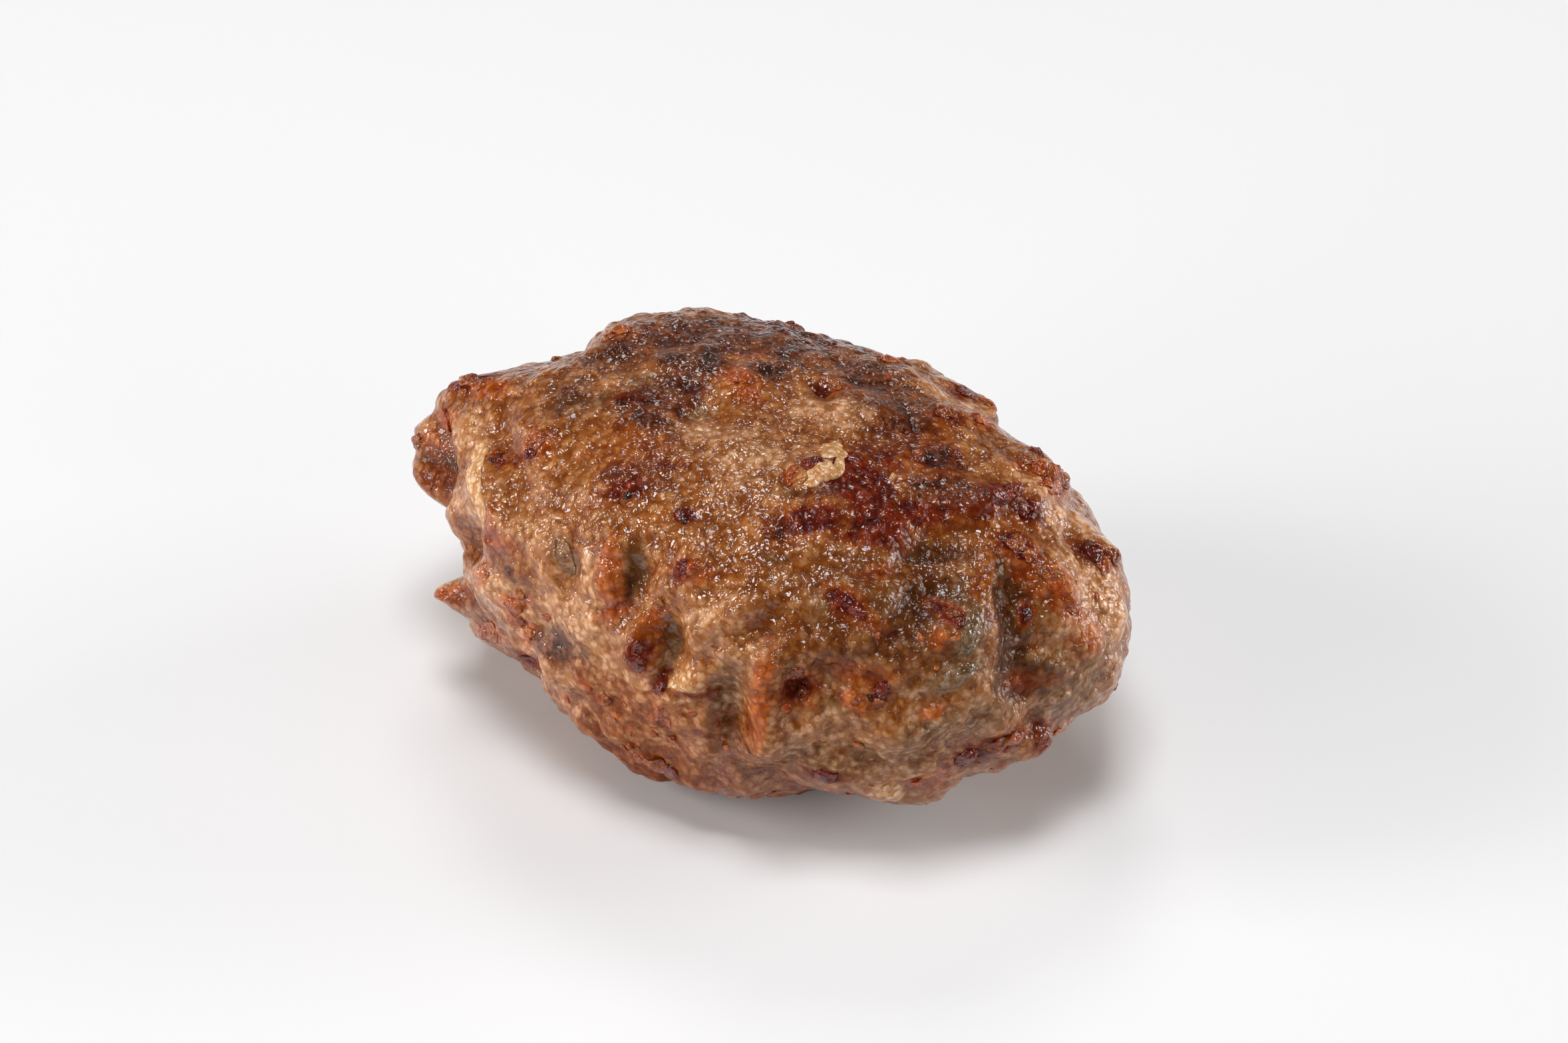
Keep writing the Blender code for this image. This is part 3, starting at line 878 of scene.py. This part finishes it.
def add_meat():
    """The meat itself, with its relief and the strengths of its colours on every vertex."""
    directions, triangles = ball_of_triangles(EDGE_CUTS)
    body = smooth_body(directions)
    form_height = relief(body)
    points = placed_points(body, directions, form_height)
    shares = {}
    for name, seen in SEEN_PATCHES.items():
        places = seen_places(seen.values(), body, points)
        places += PATCHES_BY_BEARING.get(name, {}).values()
        shares[name] = patch_strength(body, places)
    net = strands(body)
    height = form_height + fine_relief(body, shares, net)
    points = placed_points(body, directions, height)
    piece = new_piece("meat", points, triangles, meat_material())
    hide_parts("meatball")
    mesh = piece.data
    edges = edge_list(mesh)
    write_floats(mesh, "crease_shade", height - blurred(height, edges, CREASE_ROUNDS))
    for name, share in shares.items():
        write_floats(mesh, name, share)
    write_floats(mesh, "strand", net * np.clip(shares["net"], 0.0, 1.0))
    return points, triangles, soft_normals(mesh, edges), shares


def soft_normals(mesh, edges):
    """Each vertex's normal, without what the finest relief adds to it."""
    normals = np.empty(len(mesh.vertices) * 3)
    mesh.vertices.foreach_get("normal", normals)
    axes = normals.reshape(-1, 3).T
    normals = np.stack([blurred(axis, edges, NORMAL_ROUNDS) for axis in axes], axis=1)
    return normals / np.linalg.norm(normals, axis=1)[:, None]


def seen_bits(rows, points, normals):
    """Where each bit of the photo lies: its point's number, direction, half sizes and tone."""
    pixels, depth, scale = photo_pixels(points)
    bits = []
    for x, y, angle, half_length, half_width, tone in rows:
        index = point_at_pixel(x, y, pixels, depth)
        along = on_slope(angle, points[index], normals[index])
        aside = on_slope(angle + 90.0, points[index], normals[index])
        length = half_length * scale[index] * np.linalg.norm(along)
        width = half_width * scale[index] * np.linalg.norm(aside)
        bits.append((index, along, length, width, tone))
    return bits


def scattered_bits(seed, count, weight, half_lengths, tones):
    """Bits on points drawn at random, the likelier where the weight is more."""
    pick = np.random.default_rng(seed)
    bits = []
    for index in pick.choice(len(weight), count, replace=False, p=weight / weight.sum()):
        length = pick.uniform(*half_lengths)
        width = length * pick.uniform(*STREWN_WIDTHS)
        tone = np.clip(tones[index] + pick.uniform(-TONE_VARIATION, TONE_VARIATION), 0.0, 1.0)
        bits.append((index, pick.normal(size=3), length, width, tone))
    return bits


def laid_bit(shape, seat, sizes, lift, tree):
    """This shape scaled to these half sizes and bent to lie on the meat."""
    centre, along, aside, normal = seat
    bit = centre + np.outer(shape[:, 0] * sizes[0], along) + np.outer(shape[:, 1] * sizes[1], aside)
    for count, spot in enumerate(bit):
        start = Vector(spot + normal * BIT_CLEARANCE)
        hit = tree.ray_cast(start, Vector(-normal), 2.0 * BIT_CLEARANCE)[0]
        if hit is not None:
            bit[count] = hit
    return bit + np.outer(shape[:, 2] * sizes[2] + lift, normal)


def uneven_ball(ball, roughness, seed):
    """The ball with swells and lumps set by the seed."""
    shift = Vector([share * seed for share in BIT_SHIFTS])
    swell = np.array([noise.noise(Vector(point) * BIT_SWELLS + shift) for point in ball])
    lumps = np.array([noise.noise(Vector(point) * BIT_LUMPS - shift) for point in ball])
    return ball * (1.0 + roughness * (swell + BIT_LUMP_SHARE * lumps))[:, None]


def add_bits(name, bits, style, surface, material):
    """One mesh of all these bits, each bent to lie on the meat and sunk a little into it."""
    points, normals, tree = surface
    ball, triangles = ball_of_triangles(style["cuts"])
    triangles = np.array(triangles)
    vertices, faces, tones = [], [], []
    for count, (index, along, length, width, tone) in enumerate(bits):
        normal = normals[index]
        along = along - normal * (along @ normal)
        along /= np.linalg.norm(along)
        rise = style["thickness"] * width
        seat = (points[index], along, np.cross(normal, along), normal)
        shape = uneven_ball(ball, style["roughness"], count + 1.0)
        vertices.append(laid_bit(shape, seat, (length, width, rise), rise * style["lift"], tree))
        faces.append(triangles + len(ball) * count)
        tones.append(np.full(len(ball), tone))
    piece = new_piece(name, np.concatenate(vertices), np.concatenate(faces).tolist(), material)
    write_floats(piece.data, "tone", np.concatenate(tones))


def add_all_bits(points, triangles, normals, shares):
    """The onion bits, the named crumbs, and the small crumbs strewn over the browned meat."""
    surface = (points, normals, BVHTree.FromPolygons(points.tolist(), triangles))
    onion = bit_material("onion", ONION_TONES)
    crisp = bit_material("crisp_crumb", CRISP_TONES)
    facing = normals @ np.array(camera_place()[3])
    unseen = (facing < ONION_FACING) & (points[:, 2] > ONION_FOOT)
    tones = STREWN_ONION_TONE * unseen
    flakes = seen_bits(ONION_BITS.values(), points, normals)
    flakes += scattered_bits(ONION_SEED, UNSEEN_ONION, unseen.astype(float), ONION_HALF_LENGTHS, tones)
    add_bits("onion_bits", flakes, FLAKE, surface, onion)
    crumbs = seen_bits(CRISP_CRUMBS.values(), points, normals)
    add_bits("crisp_crumbs", crumbs, CRUMB, surface, crisp)
    dark = np.clip(shares["crust"] + shares["char"], 0.0, 1.0)
    browned = np.clip(dark + shares["orange"], 0.0, MOST_BROWNED)
    bare = np.clip(shares["smooth"], 0.0, MOST_BARE)
    weight = (PLAIN_WEIGHT + browned) * (1.0 - bare) * (points[:, 2] > CRUMB_FOOT)
    tones = CRUMB_TONE - DARKER_TONE * dark
    crumbs = scattered_bits(CRUMB_SEED, SMALL_CRUMBS, weight, CRUMB_HALF_LENGTHS, tones)
    add_bits("small_crumbs", crumbs, SMALL_CRUMB, surface, crisp)


def colour(red, green, blue):
    """A linear colour from screen values of 0 to 255."""
    screen = np.array([red, green, blue]) / 255.0
    linear = np.where(screen > 0.04045, ((screen + 0.055) / 1.055) ** 2.4, screen / 12.92)
    return (*linear, 1.0)


def add_node(tree, kind, inputs=None, **settings):
    """A node of this kind, its inputs set to values or linked to other nodes' outputs."""
    node = tree.nodes.new(kind)
    for name, value in settings.items():
        setattr(node, name, value)
    for name, value in (inputs or {}).items():
        if isinstance(value, bpy.types.NodeSocket):
            tree.links.new(value, node.inputs[name])
        else:
            node.inputs[name].default_value = value
    return node


def attribute(tree, name):
    return add_node(tree, "ShaderNodeAttribute", attribute_name=name).outputs["Fac"]


def math(tree, operation, *values):
    inputs = dict(enumerate(values))
    return add_node(tree, "ShaderNodeMath", inputs, operation=operation).outputs[0]


def vector_math(tree, operation, first, second):
    inputs = {0: first, "Scale" if operation == "SCALE" else 1: second}
    return add_node(tree, "ShaderNodeVectorMath", inputs, operation=operation).outputs[0]


def noise_node(tree, place, width, detail, roughness, distortion=0.0, output="Fac"):
    """Noise from 0 to 1 whose features are about this many millimetres wide."""
    inputs = {
        "Vector": place,
        "Scale": 1.0 / (width * MM),
        "Detail": detail,
        "Roughness": roughness,
        "Distortion": distortion,
    }
    return add_node(tree, "ShaderNodeTexNoise", inputs).outputs[output]


def cells_node(tree, place, width):
    """Each place's distance from the middle of its cell, for cells about this wide."""
    inputs = {"Vector": place, "Scale": 1.0 / (width * MM)}
    return add_node(tree, "ShaderNodeTexVoronoi", inputs).outputs["Distance"]


def step(tree, value, low, high, start=0.0, end=1.0):
    """A soft step from start to end as the value goes from low to high."""
    inputs = {"Value": value, "From Min": low, "From Max": high, "To Min": start, "To Max": end}
    node = add_node(tree, "ShaderNodeMapRange", inputs, interpolation_type="SMOOTHSTEP")
    return node.outputs["Result"]


def mix(tree, share, first, second):
    """The first colour where the share is 0, the second where it is 1."""
    inputs = dict(zip(MIX_INPUTS, (share, first, second)))
    return add_node(tree, "ShaderNodeMix", inputs, data_type="RGBA").outputs[MIX_OUTPUT]


def broken(tree, strength, noise_value, low, high):
    """A patch's strength with its border broken up by noise."""
    shifted = math(tree, "MULTIPLY_ADD", noise_value, BORDER_NOISE, -0.5 * BORDER_NOISE)
    return step(tree, math(tree, "ADD", strength, shifted), low, high)


# Sockets of a Mix node that mixes colours: its share and colours, and its result
MIX_INPUTS = (0, 6, 7)
MIX_OUTPUT = 2

# The colours of each kind of patch where the relief stands out, and the darker one in its hollows:
# painted shade in the creases, and at random by noise elsewhere
MEAT = (colour(154, 101, 54), colour(127, 71, 22))
# Pale colours: pale meat and onion, and painted light on lit flanks, highlights and sheen
PALE_AND_LIT_MEAT = (colour(204, 160, 122), colour(174, 126, 84))
# Grey colours: grey-beige meat and onion, and painted shade
GREY_AND_SHADED_MEAT = (colour(124, 94, 64), colour(102, 70, 38))
# Painted shade: the dark colours of the patches where the meat lies in shade
PAINTED_SHADE_MEAT = (colour(70, 42, 20), colour(48, 25, 8))
ORANGE_CRISP = (colour(168, 84, 24), colour(146, 62, 8))
RUST = (colour(144, 80, 30), colour(120, 56, 13))
CRUST = (colour(106, 29, 6), colour(76, 12, 2))
CHAR = (colour(98, 46, 28), colour(60, 22, 11))
CHAR_BLACK = colour(48, 24, 15)
STRAND = colour(172, 136, 106)
AMBER_ONION = (colour(170, 116, 62), colour(148, 86, 32))
CREAM_ONION = (colour(222, 188, 150), colour(196, 154, 112))
TAN_ONION = (colour(146, 110, 74), colour(124, 86, 50))
OLIVE_ONION = (colour(116, 94, 70), colour(96, 76, 54))
# Painted shade in the gaps between the grains, and a painted sheen on their tops
GAP_SHADE_TINT = (0.72, 0.53, 0.32, 1.0)
GRAIN_SHEEN_TINT = (1.11, 1.12, 1.15, 1.0)
ONION_TONES = (AMBER_ONION, CREAM_ONION, TAN_ONION, OLIVE_ONION)
CRISP_TONES = ((CHAR_BLACK, CHAR[1]), CRUST, RUST, ORANGE_CRISP, MEAT)

# Zones of the skin: patch, the noise at its border, colours, their share at most, and the
# strengths at which it starts and is full
PLAIN_ZONES = (
    ("pale_and_lit", "middle", PALE_AND_LIT_MEAT, 0.85, 0.1, 0.9),
    ("grey_and_shade", "middle", GREY_AND_SHADED_MEAT, 0.92, 0.1, 0.9),
)
# Painted shade first, then the browned meat, and last the pits, painted with the crust colour as shade
BROWNED_ZONES = (
    ("painted_shade", "middle", PAINTED_SHADE_MEAT, 0.8, 0.1, 0.9),
    ("orange", "small", ORANGE_CRISP, 0.75, 0.1, 0.9),
    ("crust", "small", RUST, 0.85, 0.0, 0.5),
    ("crust", "small", CRUST, 0.95, 0.35, 1.0),
    ("char", "small", CHAR, 0.85, 0.1, 0.9),
    # Pits: the crust colour as painted shade
    ("shaded_pit", "small", CRUST, 0.8, 0.1, 0.9),
)
BORDER_NOISE = 0.8

# Noises in the looks: width of their features, detail, roughness and, if bent, how much
MIDDLE_NOISE = (2.4, 4.0, 0.65)
SMALL_NOISE = (1.3, 4.0, 0.7)
TINY_NOISE = (0.3, 2.0, 0.6)
FIBRE_NOISE = (0.45, 3.0, 0.6, 1.5)
RUST_NOISE = (0.55, 4.0, 0.7)
FILM_NOISE = (0.42, 1.0, 0.4, 0.8)
WET_NOISE = (2.5, 4.0, 0.65)
BIT_NOISE = (0.8, 4.0, 0.65)

# Soft steps: the values between which they run, and their results there if not 0 and 1
HOLLOW_STEP = (0.43, 0.57)
FIBRE_STEP = (0.5, 0.62, 0.0, 0.55)
BLACK_STEP = (1.0, 1.5)
RUST_STEP = (0.54, 0.64, 0.0, 0.45)
MOTTLE_STEP = (0.3, 0.7, 0.86, 1.12)
SHADE_STEP = (0.3, 0.7, 0.88, 1.1)
PEPPER_STEP = (0.1, 0.06)
GAP_STEP = (0.2, 0.7)
WET_STEP = (0.38, 0.55, 0.5, 1.0)
DRY_STEP = (0.0, 1.0, 1.0, 0.35)
THINNED_STEP = (0.25, 0.6, 0.75, 0.0)
BIT_HOLLOW_STEP = (0.4, 0.6)
SKY_STEP = (0.05, 0.4, 0.35, 0.02)

# How much creases count as hollows, whose darker colours are painted shade, and how strongly strands,
# black char and pepper cover
CREASE_SHADE_SHARE = 0.9
STRAND_SHARE = 0.8
BLACK_SHARE = 0.8
PEPPER_SHARE = 0.6
PEPPER_APART = 1.3

# Grains in the film: their width on the meat and on bits, how steep they are, and the noise
# that stirs them, its width as a share of theirs
PEBBLE_WIDTH = 0.58
BIT_PEBBLE_WIDTH = 0.4
PEBBLE_STEEPNESS = 1.3
STIR_WIDTH = 1.6
STIR_NOISE = (2.0, 0.5)

# A bit's tone is raised by noise, on average by this much, and its colours meet over this
TONE_NOISE = 0.15
TONE_EDGE = 0.08

# Wet skin: shares of ripples and grains in its relief, how deep that is in the skin and in
# the film, and the shader's values that are the same all over
FILM_SHARE = 0.6
PEBBLE_SHARE = 0.6
SKIN_BUMP = 0.09
FILM_BUMP = 0.2
WET_SKIN = {
    "Roughness": 0.4,
    "IOR": 1.45,
    "Specular IOR Level": 0.08,
    "Subsurface Weight": 0.25,
    "Subsurface Radius": (1.0, 0.4, 0.2),
    "Subsurface Scale": 0.5 * MM,
    "Coat Roughness": 0.07,
    "Coat IOR": 1.6,
}

# Lamps: azimuth, elevation, distance, size, power, tint, and whether the wet film mirrors them
LAMPS = dict(
    key=(20.0, 80.0, 500.0, 180.0, 1.5, (0.96, 0.97, 1.0), True),
    left=(-60.0, 24.0, 600.0, 200.0, 1.5, (1.0, 0.98, 0.96), True),
    right=(130.0, 12.0, 700.0, 400.0, 3.6, (1.0, 1.0, 1.0), True),
    back=(212.0, 50.0, 600.0, 180.0, 0.75, (1.0, 0.98, 0.97), True),
    fill_left=(-40.0, 2.0, 600.0, 500.0, 4.2, (1.0, 0.98, 0.96), False),
    fill_right=(85.0, 8.0, 700.0, 500.0, 1.8, (1.0, 1.0, 1.0), False),
)
SKY_TINT = (1.0, 0.98, 0.96, 1.0)
FLOOR_REACH = 3000.0
FLOOR_COLOUR = (0.8, 0.8, 0.8, 1.0)
FLOOR_ROUGHNESS = 0.7


def new_material(name):
    """A material, its nodes, and the place on the piece that they can use."""
    material = bpy.data.materials.new(name)
    material.use_nodes = True
    tree = material.node_tree
    return material, tree, add_node(tree, "ShaderNodeTexCoord").outputs["Object"]


def with_zones(tree, skin, zones, noises, hollow):
    """The skin with these zones laid over it, one after the other."""
    for patch, border, tones, most, low, high in zones:
        share = broken(tree, attribute(tree, patch), noises[border], low, high)
        skin = mix(tree, math(tree, "MULTIPLY", share, most), skin, mix(tree, hollow, *tones))
    return skin


def meat_material():
    material, tree, place = new_material("fried_meat")
    middle = noise_node(tree, place, *MIDDLE_NOISE)
    small = noise_node(tree, place, *SMALL_NOISE)
    noises = {"middle": middle, "small": small}
    # Painted shade: creases take the darker colours of the hollows
    crease_shade = math(tree, "MULTIPLY", attribute(tree, "crease_shade"), CREASE_SHADE_SHARE)
    hollow = step(tree, math(tree, "SUBTRACT", small, crease_shade), *HOLLOW_STEP)
    skin = with_zones(tree, mix(tree, hollow, *MEAT), PLAIN_ZONES, noises, hollow)
    strand = math(tree, "MULTIPLY", attribute(tree, "strand"), STRAND_SHARE)
    skin = mix(tree, strand, skin, STRAND)
    fibre = step(tree, noise_node(tree, place, *FIBRE_NOISE), *FIBRE_STEP)
    skin = mix(tree, math(tree, "MULTIPLY", fibre, attribute(tree, "net")), skin, STRAND)
    skin = with_zones(tree, skin, BROWNED_ZONES, noises, hollow)
    black = broken(tree, attribute(tree, "char"), small, *BLACK_STEP)
    skin = mix(tree, math(tree, "MULTIPLY", black, BLACK_SHARE), skin, CHAR_BLACK)
    rust = step(tree, noise_node(tree, place, *RUST_NOISE), *RUST_STEP)
    skin = mix(tree, rust, skin, mix(tree, hollow, *RUST))
    mottle = step(tree, noise_node(tree, place, *TINY_NOISE), *MOTTLE_STEP)
    shade = math(tree, "MULTIPLY", mottle, step(tree, middle, *SHADE_STEP))
    skin = vector_math(tree, "SCALE", skin, shade)
    pebble = pebbles(tree, place, PEBBLE_WIDTH)
    # Painted shade in the gaps between the grains and painted sheen on their tops
    skin = painted_grain_shading(tree, skin, pebble)
    pepper = step(tree, cells_node(tree, place, PEPPER_APART), *PEPPER_STEP)
    skin = mix(tree, math(tree, "MULTIPLY", pepper, PEPPER_SHARE), skin, CHAR_BLACK)
    wet_surface(tree, place, skin, pebble)
    return material


def pebbles(tree, place, width):
    """Rounded grains as wide as this: 1 at their middles, 0 in the gaps between them."""
    stir = noise_node(tree, place, width * STIR_WIDTH, *STIR_NOISE, output="Color")
    stir = vector_math(tree, "SUBTRACT", stir, (0.5, 0.5, 0.5))
    stir = vector_math(tree, "SCALE", stir, width * MM)
    cells = cells_node(tree, vector_math(tree, "ADD", place, stir), width)
    return math(tree, "SUBTRACT", 1.0, math(tree, "MULTIPLY", cells, PEBBLE_STEEPNESS))


def painted_grain_shading(tree, skin, pebble):
    """The skin with painted shade, a deeper, warmer colour, in the gaps between its grains, and a
    painted sheen, a lighter, cooler colour, on their tops.
    """
    tint = mix(tree, step(tree, pebble, *GAP_STEP), GAP_SHADE_TINT, GRAIN_SHEEN_TINT)
    return vector_math(tree, "MULTIPLY", skin, tint)


def bump(tree, height, depth):
    inputs = {"Height": height, "Strength": 1.0, "Distance": depth * MM}
    return add_node(tree, "ShaderNodeBump", inputs).outputs["Normal"]


def wet_surface(tree, place, skin, pebble):
    """The skin with soft light inside, and over it a wet film that ripples over the grains."""
    shader = tree.nodes["Principled BSDF"]
    for socket, value in WET_SKIN.items():
        shader.inputs[socket].default_value = value
    ripples = math(tree, "MULTIPLY", noise_node(tree, place, *FILM_NOISE), FILM_SHARE)
    height = math(tree, "ADD", ripples, math(tree, "MULTIPLY", pebble, PEBBLE_SHARE))
    wet = step(tree, noise_node(tree, place, *WET_NOISE), *WET_STEP)
    # The film is thinner on the net and on the patches of painted shade
    dry = math(tree, "ADD", attribute(tree, "net"), attribute(tree, "painted_shade"))
    film = math(tree, "MULTIPLY", wet, step(tree, dry, *DRY_STEP))
    crusted = step(tree, attribute(tree, "crust"), 0.0, 1.0)
    thinned = math(tree, "MULTIPLY", crusted, step(tree, pebble, *THINNED_STEP))
    film = math(tree, "MULTIPLY", film, math(tree, "SUBTRACT", 1.0, thinned))
    tree.links.new(skin, shader.inputs["Base Color"])
    tree.links.new(bump(tree, height, SKIN_BUMP), shader.inputs["Normal"])
    tree.links.new(film, shader.inputs["Coat Weight"])
    tree.links.new(bump(tree, height, FILM_BUMP), shader.inputs["Coat Normal"])


def bit_material(name, tones):
    """A wet finish whose colour runs through these pairs as the piece's tone goes from 0 to 1."""
    material, tree, place = new_material(name)
    small = noise_node(tree, place, *BIT_NOISE)
    hollow = step(tree, small, *BIT_HOLLOW_STEP)
    tone = math(tree, "MULTIPLY_ADD", small, 2.0 * TONE_NOISE, attribute(tree, "tone"))
    skin = mix(tree, hollow, *tones[0])
    for count, pair in enumerate(tones[1:], 1):
        edge = TONE_NOISE + count / len(tones)
        share = step(tree, tone, edge - TONE_EDGE, edge + TONE_EDGE)
        skin = mix(tree, share, skin, mix(tree, hollow, *pair))
    pebble = pebbles(tree, place, BIT_PEBBLE_WIDTH)
    # Painted shade in the gaps between the bits' grains and painted sheen on their tops
    wet_surface(tree, place, painted_grain_shading(tree, skin, pebble), pebble)
    return material


def add_camera():
    eye, right, up, back = camera_place()
    camera = bpy.data.cameras.new("camera")
    camera.lens = CAMERA_LENS
    camera.sensor_width = SENSOR_WIDTH
    camera.clip_start = NEAREST_SHOWN * MM
    holder = new_object("camera", camera)
    holder.matrix_world = Matrix((right, up, back)).transposed().to_4x4()
    holder.location = eye * MM
    bpy.context.scene.camera = holder


def add_softbox(name, azimuth, elevation, distance, size, power, tint, mirrored):
    """A square lamp that looks at the meatball from here; it may light without being mirrored."""
    _, _, back = view_axes(azimuth, elevation)
    lamp = bpy.data.lights.new(name, "AREA")
    lamp.size = size * MM
    lamp.energy = power
    lamp.color = tint
    holder = new_object(name, lamp)
    holder.visible_glossy = mirrored
    holder.location = (Vector((0.0, 0.0, AIM_HEIGHT)) + back * distance) * MM
    holder.rotation_euler = back.to_track_quat("Z", "Y").to_euler()


def add_studio():
    world = bpy.data.worlds.new("studio")
    world.use_nodes = True
    tree = world.node_tree
    direction = add_node(tree, "ShaderNodeTexCoord").outputs["Generated"]
    upward = add_node(tree, "ShaderNodeSeparateXYZ", {0: direction}).outputs["Z"]
    sky = tree.nodes["Background"]
    tree.links.new(step(tree, upward, *SKY_STEP), sky.inputs["Strength"])
    sky.inputs["Color"].default_value = SKY_TINT
    bpy.context.scene.world = world
    for name, lamp in LAMPS.items():
        add_softbox(name, *lamp)
    bpy.context.scene.view_settings.view_transform = "Standard"


def add_floor():
    mesh = bpy.data.meshes.new("floor")
    reach = FLOOR_REACH * MM
    corners = [(-reach, -reach, 0.0), (reach, -reach, 0.0), (reach, reach, 0.0), (-reach, reach, 0.0)]
    mesh.from_pydata(corners, [], [(0, 1, 2, 3)])
    floor = new_object("floor", mesh)
    material = bpy.data.materials.new("floor")
    material.use_nodes = True
    shader = material.node_tree.nodes["Principled BSDF"]
    shader.inputs["Base Color"].default_value = FLOOR_COLOUR
    shader.inputs["Roughness"].default_value = FLOOR_ROUGHNESS
    mesh.materials.append(material)


def main():
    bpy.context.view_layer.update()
    add_camera()
    add_studio()
    add_floor()
    add_all_bits(*add_meat())


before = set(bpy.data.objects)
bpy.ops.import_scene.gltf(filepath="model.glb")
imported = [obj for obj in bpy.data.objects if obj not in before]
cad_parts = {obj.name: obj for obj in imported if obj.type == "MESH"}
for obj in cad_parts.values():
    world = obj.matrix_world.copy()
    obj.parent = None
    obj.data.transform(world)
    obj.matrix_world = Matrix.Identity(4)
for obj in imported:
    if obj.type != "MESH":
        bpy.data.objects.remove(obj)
main()
